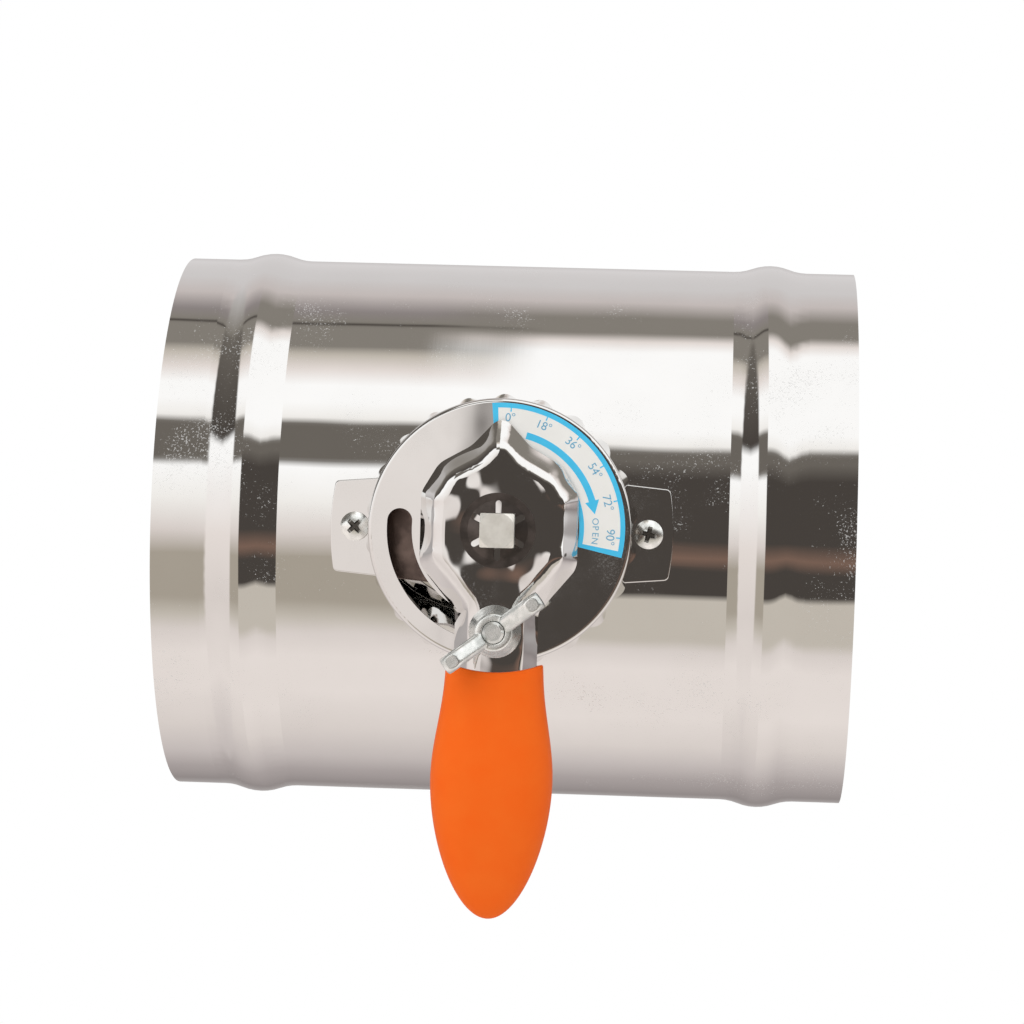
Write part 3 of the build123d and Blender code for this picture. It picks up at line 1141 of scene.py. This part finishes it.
@dataclass
class MountingBar:
    """The sheared bar under the dial, whose tumbled edges catch a thin line of light.

    Only its ends, which show, are polished; its middle under the dial is a darker brown grey, painted shade
    seen through the dial's slot.
    """

    middle: Vector
    shade_half_length: float = 34.0 * MM
    screw_shade_depth: float = 3.2 * MM
    edge: float = 0.35 * MM
    edge_rounds: int = 3
    flat_angle: float = 1.0
    sharp_angle: float = 40.0

    def build(self, frame: dict) -> None:
        """Round the CAD bar's edges and put the tumbled bar in its place.

        Args:
            frame: The loaded frame.
        """
        form = node_form(frame, "mounting_bar")
        flat = math.radians(self.flat_angle)
        bmesh.ops.dissolve_limit(form, angle_limit=flat, verts=form.verts[:], edges=form.edges[:])
        limit = math.radians(self.sharp_angle)
        sharp = [edge for edge in form.edges if edge.calc_face_angle(0.0) > limit]
        bmesh.ops.bevel(
            form, geom=sharp, offset=self.edge, segments=self.edge_rounds, profile=0.5, affect="EDGES"
        )
        for side in (-1, 1):
            line = self.middle + Vector((side * self.shade_half_length, 0, 0))
            whole = form.verts[:] + form.edges[:] + form.faces[:]
            bmesh.ops.bisect_plane(form, geom=whole, plane_co=line, plane_no=(1, 0, 0))
        bar = new_piece("tumbled_bar", even_shading(form, self.sharp_angle), PRESSED_SHEET)
        # Faces under the dial take the darker sheet as painted shade
        bar.data.materials.append(SLOT_SHADE_SHEET.material())
        for face in bar.data.polygons:
            face.material_index = int(abs(face.center.x - self.middle.x) < self.shade_half_length)
        fit(bar, Body.DUCT, Slot.MIRROR, "mounting_bar")

    def dress(self, frame: dict) -> None:
        """Plate the bar's screws, with painted shade where their recesses lie.

        Args:
            frame: The loaded frame.
        """
        low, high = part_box("bar_screw_right")
        across = (low.x + high.x) / 2 - self.middle.x
        out = self.middle.y - low.y - self.screw_shade_depth
        plating = replace(SHADED_ZINC_SCREW, middle=tuple(self.middle), recess=(across, out, 0.0))
        coat(frame, plating, "bar_screw_left", "bar_screw_right")


@dataclass
class PressedLever:
    """The lever's pressed plate, which sits a little out of square on its shaft."""

    middle: Vector
    lean: float = 0.55
    sharp_angle: float = 30.0

    def build(self, frame: dict) -> None:
        """Lean the CAD plate as its play on the shaft lets it, and put it in place of the square one.

        Args:
            frame: The loaded frame.
        """
        form = node_form(frame, "lever_plate")
        low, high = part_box("lever_plate")
        pivot = Vector((self.middle.x, (low.y + high.y) / 2, self.middle.z))
        turn = Matrix.Rotation(math.radians(self.lean), 4, "Z")
        form.transform(Matrix.Translation(pivot) @ turn @ Matrix.Translation(-pivot))
        plate = new_piece("pressed_lever", even_shading(form, self.sharp_angle), LEVER_SHEET)
        # The dial and the duct mirror the surround alone behind the lever
        plate.visible_glossy = False
        fit(plate, Body.LEVER, Slot.MIRROR, "lever_plate")


@dataclass
class BladeAssembly:
    """The blade with its square shaft, and what fastens, spaces and carries them."""

    sheet: Finish = BLADE_SHEET
    bar_steel: Finish = BRIGHT_STEEL_AND_HIGHLIGHT
    spring: Finish = BLACK_SPRING
    bush: Finish = NATURAL_NYLON

    def dress(self, frame: dict) -> None:
        """Give the blade, the shaft and their small pieces their finishes.

        Args:
            frame: The loaded frame.
        """
        coat(frame, self.sheet, "damper_blade")
        coat(frame, self.bar_steel, "damper_shaft", "lever_spacer", "rear_washer")
        for place in BLADE_SCREW_PLACES:
            coat(frame, self.bar_steel, f"blade_screw_{place}", f"blade_nut_{place}")
        coat(frame, self.spring, "front_lock_washer", "rear_lock_washer")
        coat(frame, self.bush, "front_bush", "rear_bush")


@dataclass
class WingNut:
    """The cast wing nut and its bolt: the wings flow into the hub, with no sharp edge left by the mould."""

    cell: float = 0.24 * MM
    melt: float = 0.5
    melt_rounds: int = 7
    regain: float = 0.42 * MM
    bore: float = 3.2 * MM
    reach: float = 16.2 * MM

    def build(self, frame: dict) -> None:
        """Melt the CAD nut's edges together and put the cast form in its place.

        Args:
            frame: The loaded frame.
        """
        blank = bpy.data.objects.new("blank", close_form(node_form(frame, "wing_nut"), True))
        cells = blank.modifiers.new("cells", "REMESH")
        cells.mode = "VOXEL"
        cells.voxel_size = self.cell
        cells.use_smooth_shade = True
        flow = blank.modifiers.new("flow", "SMOOTH")
        flow.factor = self.melt
        flow.iterations = self.melt_rounds
        mesh = evaluated(blank)
        self.swell(mesh)
        self.trim(mesh)
        fit(new_piece("cast_wing_nut", mesh, ZINC_PLATE), Body.NUT, Slot.ZINC, "wing_nut")

    def dress(self, frame: dict) -> None:
        """Plate the bolt."""
        coat(frame, ZINC_PLATE, "clamp_bolt")

    def swell(self, mesh: bpy.types.Mesh) -> None:
        """Give back the thickness that melting took, but none past the nut's own seat and top.

        Args:
            mesh: The nut's mesh, which is changed.
        """
        low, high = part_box("wing_nut")
        outward = [corner.normal.copy() for corner in mesh.vertices]
        for corner, way in zip(mesh.vertices, outward):
            corner.co += way * self.regain
            corner.co.y = min(max(corner.co.y, low.y), high.y)

    def trim(self, mesh: bpy.types.Mesh) -> None:
        """Open the nut's bore until the bolt's thread clears it, and trim the wings' ends square.

        Args:
            mesh: The nut's mesh, which is changed.
        """
        low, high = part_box("clamp_bolt")
        axis = (low + high) / 2
        for corner in mesh.vertices:
            out = Vector((corner.co.x - axis.x, 0.0, corner.co.z - axis.z))
            trimmed = min(max(out.length, self.bore), self.reach)
            corner.co += out.normalized() * (trimmed - out.length)


@dataclass
class LeverGrip:
    """The moulded grip: a sleeve with a mouth that clears the dial, flat faces and a rounded point."""

    middle: Vector
    level: float
    mouth_radius: float = 39.1 * MM
    length: float = 68.8 * MM
    mouth_half_width: float = 13.6 * MM
    swell_half_width: float = 17.0 * MM
    swell_place: float = 30.0 * MM
    tail_run: float = 18.0 * MM
    tip_half_width: float = 8.8 * MM
    flatness: float = 0.6
    squareness: float = 2.6
    lip: float = 0.9 * MM
    wall: float = 1.7 * MM
    pocket: float = 1.3 * MM
    mouth_fade: int = 3
    lip_bends: tuple[float, ...] = (30.0, 60.0)
    stations: int = 72
    sides: int = 112
    halvings: int = 40

    def half_width(self, run: float) -> float:
        """Give the grip's half width a run below its mouth.

        Args:
            run: The distance below the mouth.

        Returns:
            Half the grip's width there.
        """
        if run <= self.swell_place:
            share = 0.5 - 0.5 * math.cos(math.pi * max(run, 0) / self.swell_place)
            return self.mouth_half_width + (self.swell_half_width - self.mouth_half_width) * share
        tail = self.length - self.swell_place
        low, high = 0.0, 1.0
        for _ in range(self.halvings):
            t = (low + high) / 2
            reach = 3 * (1 - t) ** 2 * t * self.tail_run + (3 * (1 - t) * t**2 + t**3) * tail
            low, high = (t, high) if reach < run - self.swell_place else (low, t)
        full = (1 - t) ** 3 + 3 * (1 - t) ** 2 * t
        return full * self.swell_half_width + 3 * (1 - t) * t**2 * self.tip_half_width

    def squared(self, share: float) -> float:
        """Push a circle's share of a half width outwards, towards a square's."""
        return math.copysign(abs(share) ** (2 / self.squareness), share)

    def ring(self, form: bmesh.types.BMesh, run: float, inset: float) -> list[bmesh.types.BMVert]:
        """Add one ring of the grip's skin.

        Args:
            form: The form that takes it.
            run: How far below the mouth it lies; less than nothing is inside the lip.
            inset: How far it lies in from the outer skin.

        Returns:
            The ring's corners.
        """
        half = max(self.half_width(run) - inset, 0.0)
        thick = max(self.half_width(run) * self.flatness - inset, 0.0)
        fade = max(0.0, 1 - run / self.swell_place) ** self.mouth_fade
        corners = []
        for step in range(self.sides):
            angle = 2 * math.pi * step / self.sides
            across = self.squared(math.cos(angle)) * half
            out = self.squared(math.sin(angle)) * thick
            dip = self.mouth_radius - math.sqrt(self.mouth_radius**2 - across**2)
            below = self.mouth_radius + run - dip * fade
            corners.append(form.verts.new(self.middle + Vector((across, -(self.level + out), -below))))
        return corners

    def build(self) -> None:
        """Mould the grip and put it in place of its plain solid."""
        form = bmesh.new()
        rings = [self.ring(form, run, self.wall) for run in (self.pocket, self.lip, 0.0)]
        for bend in map(math.radians, self.lip_bends):
            rings.append(self.ring(form, self.lip * (1 - math.cos(bend)), self.lip * (1 - math.sin(bend))))
        for station in range(1, self.stations + 1):
            share = math.sin(math.pi / 2 * station / self.stations)
            rings.append(self.ring(form, self.lip + (self.length - self.lip) * share, 0.0))
        for first, second in zip(rings, rings[1:]):
            for step in range(self.sides):
                after = (step + 1) % self.sides
                form.faces.new((first[step], first[after], second[after], second[step]))
        form.faces.new(rings[0])
        grip = new_piece("moulded_grip", close_form(form, True), ORANGE_GRIP)
        # Beside the lever the duct mirrors the pale surround alone
        grip.visible_glossy = False
        fit(grip, Body.LEVER, Slot.GRIP, "lever_grip")


class Tone(Enum):
    """The tones of the studio's surround."""

    WHITE = "#FFFFFF"
    SOFT_WHITE = "#F4F2EF"
    PALE_FLOOR = "#E6DEDA"
    FLOOR = "#DAD2CE"
    FAR_FLOOR = "#C4BCBA"
    DIM_FLOOR = "#A8A09F"
    SHADE = "#8C8584"
    WALL = "#C2BBB1"
    DIM_WALL = "#A79F93"
    GREY = "#847F78"
    CEILING = "#CBC8C8"
    DIM_CEILING = "#A6A2A1"
    SOFT_DARK = "#6A655F"
    DARK = "#47423E"
    BROWN = "#7A6256"


@dataclass(frozen=True)
class Card:
    """One stop of the studio's surround: an angle up from the front, and the tone that hangs there."""

    angle: float
    tone: Tone


@dataclass(frozen=True)
class Lamp:
    """A soft square lamp: where it hangs, seen from the part, its side in metres and its power in watts."""

    name: str
    direction: tuple[float, float, float]
    side: float
    power: float


@dataclass
class Studio:
    """The floor, the light, the surround that the metal mirrors, and the camera."""

    middle: Vector
    azimuth: float = 3.0
    distance: float = 1.0823
    aim_offset: Vector = field(default_factory=lambda: Vector((-1.45, 0.0, 5.26)) * MM)
    lens: float = 124.7
    sensor_width: float = 36.0
    roll: float = 1.64
    floor_drop: float = 300 * MM
    floor_radius: float = 850 * MM
    floor_sides: int = 96
    floor_card: Finish = MouldedPlastic("matt_white_card", "#F4F3F0", "#F1F0EC", 0.9, 60.0)
    fill_level: float = 0.72
    card_level: float = 1.3
    lamp_distance: float = 0.9
    lamps: tuple[Lamp, ...] = (
        Lamp("key_lamp", (-0.5, -0.9, 0.75), 0.7, 2.2),
        Lamp("top_lamp", (0.4, 0.1, 1.0), 0.9, 1.2),
    )
    # Where along x the surround changes from its left side to its right, and to its far left end
    side_change: tuple[float, float] = (-0.075, -0.045)
    far_change: tuple[float, float] = (-0.33, -0.39)
    left_cards: tuple[Card, ...] = (
        Card(-180, Tone.DIM_CEILING),
        Card(-154, Tone.SHADE),
        Card(-134, Tone.DIM_FLOOR),
        Card(-119, Tone.FAR_FLOOR),
        Card(-98, Tone.FLOOR),
        Card(-76, Tone.PALE_FLOOR),
        Card(-58, Tone.PALE_FLOOR),
        Card(-47, Tone.FLOOR),
        Card(-40, Tone.WALL),
        Card(-33, Tone.DIM_WALL),
        Card(-14, Tone.DIM_WALL),
        Card(-4, Tone.FLOOR),
        Card(10, Tone.SOFT_WHITE),
        Card(24, Tone.WHITE),
        Card(27, Tone.SOFT_DARK),
        Card(43.5, Tone.SOFT_DARK),
        Card(46.5, Tone.SOFT_WHITE),
        Card(54, Tone.WHITE),
        Card(62, Tone.WHITE),
        Card(70, Tone.PALE_FLOOR),
        Card(78, Tone.WALL),
        Card(83, Tone.GREY),
        Card(95.5, Tone.GREY),
        Card(97, Tone.DARK),
        Card(98.5, Tone.GREY),
        Card(106, Tone.SHADE),
        Card(119, Tone.FAR_FLOOR),
        Card(134, Tone.CEILING),
        Card(158, Tone.CEILING),
        Card(180, Tone.DIM_CEILING),
    )
    right_cards: tuple[Card, ...] = (
        Card(-180, Tone.DIM_CEILING),
        Card(-156, Tone.SHADE),
        Card(-134, Tone.DIM_FLOOR),
        Card(-119, Tone.FAR_FLOOR),
        Card(-104, Tone.FLOOR),
        Card(-86, Tone.PALE_FLOOR),
        Card(-60, Tone.PALE_FLOOR),
        Card(-51, Tone.FLOOR),
        Card(-46, Tone.WALL),
        Card(-28, Tone.WALL),
        Card(-25.5, Tone.DARK),
        Card(-15, Tone.DARK),
        Card(-10, Tone.BROWN),
        Card(-3, Tone.DARK),
        Card(24, Tone.DARK),
        Card(31, Tone.SOFT_DARK),
        Card(35, Tone.SOFT_DARK),
        Card(38, Tone.SOFT_WHITE),
        Card(44, Tone.WHITE),
        Card(84, Tone.WHITE),
        Card(90, Tone.PALE_FLOOR),
        Card(95, Tone.GREY),
        Card(106, Tone.GREY),
        Card(118, Tone.FAR_FLOOR),
        Card(132, Tone.CEILING),
        Card(158, Tone.CEILING),
        Card(180, Tone.DIM_CEILING),
    )
    # Only the steep flanks of the beads mirror the surround's far left end
    far_cards: tuple[Card, ...] = (
        Card(-180, Tone.DIM_CEILING),
        Card(-122, Tone.FAR_FLOOR),
        Card(-74, Tone.PALE_FLOOR),
        Card(-36, Tone.FLOOR),
        Card(-6, Tone.PALE_FLOOR),
        Card(30, Tone.WHITE),
        Card(37, Tone.WHITE),
        Card(41, Tone.DARK),
        Card(92, Tone.SOFT_DARK),
        Card(97, Tone.GREY),
        Card(130, Tone.CEILING),
        Card(180, Tone.DIM_CEILING),
    )

    def build(self) -> None:
        """Lay the floor, hang the lamps, wrap the surround and place the camera."""
        bpy.context.scene.view_settings.view_transform = "Standard"
        self.lay_floor()
        for lamp in self.lamps:
            self.hang(lamp)
        self.wrap_surround()
        self.place_camera()

    def lay_floor(self) -> None:
        """Lay a pale round floor that metal doesn't mirror, because the surround goes on below it."""
        centre = self.middle - Vector((0, 0, self.floor_drop))
        mesh = bpy.data.meshes.new("floor")
        form = bmesh.new()
        bmesh.ops.create_circle(
            form,
            cap_ends=True,
            segments=self.floor_sides,
            radius=self.floor_radius,
            matrix=Matrix.Translation(centre),
        )
        form.to_mesh(mesh)
        form.free()
        floor = bpy.data.objects.new("floor", mesh)
        bpy.context.scene.collection.objects.link(floor)
        floor.visible_glossy = False
        mesh.materials.append(self.floor_card.material())

    def hang(self, lamp: Lamp) -> None:
        """Hang a lamp that lights the part and isn't mirrored in it.

        Args:
            lamp: The lamp.
        """
        hung = bpy.data.objects.new(lamp.name, bpy.data.lights.new(lamp.name, "AREA"))
        hung.data.size = lamp.side
        hung.data.energy = lamp.power
        direction = Vector(lamp.direction)
        hung.location = self.middle + direction.normalized() * self.lamp_distance
        hung.rotation_euler = direction.to_track_quat("Z", "Y").to_euler()
        hung.visible_glossy = False
        bpy.context.scene.collection.objects.link(hung)

    def side_tone(
        self, tree: bpy.types.NodeTree, angle: bpy.types.NodeSocket, cards: tuple[Card, ...]
    ) -> bpy.types.NodeSocket:
        """Turn a side's cards into tones by the angle up from the front.

        Args:
            tree: The world's node tree.
            angle: The angle up from the front, from 0 straight behind, round below, to 1 behind again.
            cards: The side's cards, in order of angle.

        Returns:
            The tone's output.
        """
        node = add_node(tree, "ShaderNodeValToRGB", {"Fac": angle})
        stops = node.color_ramp.elements
        stops.remove(stops[1])
        stops[0].position = 0.0
        stops[0].color = linear(cards[0].tone.value)
        for card in cards[1:]:
            stops.new((card.angle + 180) / 360).color = linear(card.tone.value)
        return node.outputs["Color"]

    def wrap_surround(self) -> None:
        """Make the world: white behind the part, cards where metal mirrors, and an even soft fill."""
        world = bpy.data.worlds.new("studio_surround")
        bpy.context.scene.world = world
        world.use_nodes = True
        tree = world.node_tree
        tree.nodes.clear()
        way = add_node(tree, "ShaderNodeTexCoord").outputs["Generated"]
        parts = add_node(tree, "ShaderNodeSeparateXYZ", {"Vector": way}).outputs
        front = add_node(tree, "ShaderNodeMath", {0: parts["Y"], 1: -1.0}, operation="MULTIPLY").outputs[0]
        lift = add_node(tree, "ShaderNodeMath", {0: parts["Z"], 1: front}, operation="ARCTAN2").outputs[0]
        turn = add_node(
            tree, "ShaderNodeMapRange", {"Value": lift, "From Min": -math.pi, "From Max": math.pi}
        ).outputs["Result"]
        tone = self.side_tone(tree, turn, self.left_cards)
        sides = ((self.side_change, self.right_cards), (self.far_change, self.far_cards))
        for change, next_cards in sides:
            share = add_node(
                tree,
                "ShaderNodeMapRange",
                {"Value": parts["X"], "From Min": change[0], "From Max": change[1]},
                interpolation_type="SMOOTHSTEP",
            ).outputs["Result"]
            next_tone = self.side_tone(tree, turn, next_cards)
            tone = add_node(
                tree,
                "ShaderNodeMix",
                {MIX_SHARE: share, MIX_FIRST: tone, MIX_SECOND: next_tone},
                data_type="RGBA",
            ).outputs[MIX_RESULT]
        paper = linear(Tone.WHITE.value)
        cards = add_node(tree, "ShaderNodeBackground", {"Color": tone, "Strength": self.card_level})
        fill = add_node(tree, "ShaderNodeBackground", {"Color": paper, "Strength": self.fill_level})
        white = add_node(tree, "ShaderNodeBackground", {"Color": paper, "Strength": 1.0})
        ray = add_node(tree, "ShaderNodeLightPath").outputs
        lit = add_node(
            tree,
            "ShaderNodeMixShader",
            {0: ray["Is Glossy Ray"], 1: fill.outputs[0], 2: cards.outputs[0]},
        )
        seen = add_node(
            tree,
            "ShaderNodeMixShader",
            {0: ray["Is Camera Ray"], 1: lit.outputs[0], 2: white.outputs[0]},
        )
        add_node(tree, "ShaderNodeOutputWorld", {"Surface": seen.outputs[0]})

    def place_camera(self) -> None:
        """Set the camera square to the duct's side, a little to the right and slightly rolled."""
        turn = math.radians(self.azimuth)
        back = Vector((math.sin(turn), -math.cos(turn), 0))
        camera = bpy.data.objects.new("camera", bpy.data.cameras.new("camera"))
        camera.data.lens = self.lens
        camera.data.sensor_width = self.sensor_width
        camera.location = self.middle + self.aim_offset + back * self.distance
        level = back.to_track_quat("Z", "Y")
        camera.rotation_euler = (level @ Quaternion((0, 0, 1), math.radians(self.roll))).to_euler()
        bpy.context.scene.collection.objects.link(camera)
        bpy.context.scene.camera = camera


def main() -> None:
    """Load the frame, and build and dress every piece in order."""
    logging.basicConfig(level=logging.INFO, format="%(name)s %(message)s")
    for leftover in list(bpy.data.objects):
        bpy.data.objects.remove(leftover)
    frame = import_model()
    low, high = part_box("duct_tube")
    middle = (low + high) / 2
    Studio(middle).build()

    DuctSection().dress(frame)
    bar = MountingBar(middle)
    bar.build(frame)
    bar.dress(frame)
    PressedLever(middle).build(frame)
    BladeAssembly().dress(frame)
    nut = WingNut()
    nut.build(frame)
    nut.dress(frame)
    dial = Dial(middle, middle.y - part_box("dial_label")[0].y)
    dial.build()
    dial.dress(frame)
    Threads(middle).build()
    lever_low, lever_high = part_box("lever_plate")
    LeverGrip(middle, middle.y - (lever_low.y + lever_high.y) / 2).build()


if __name__ == "__main__":
    main()
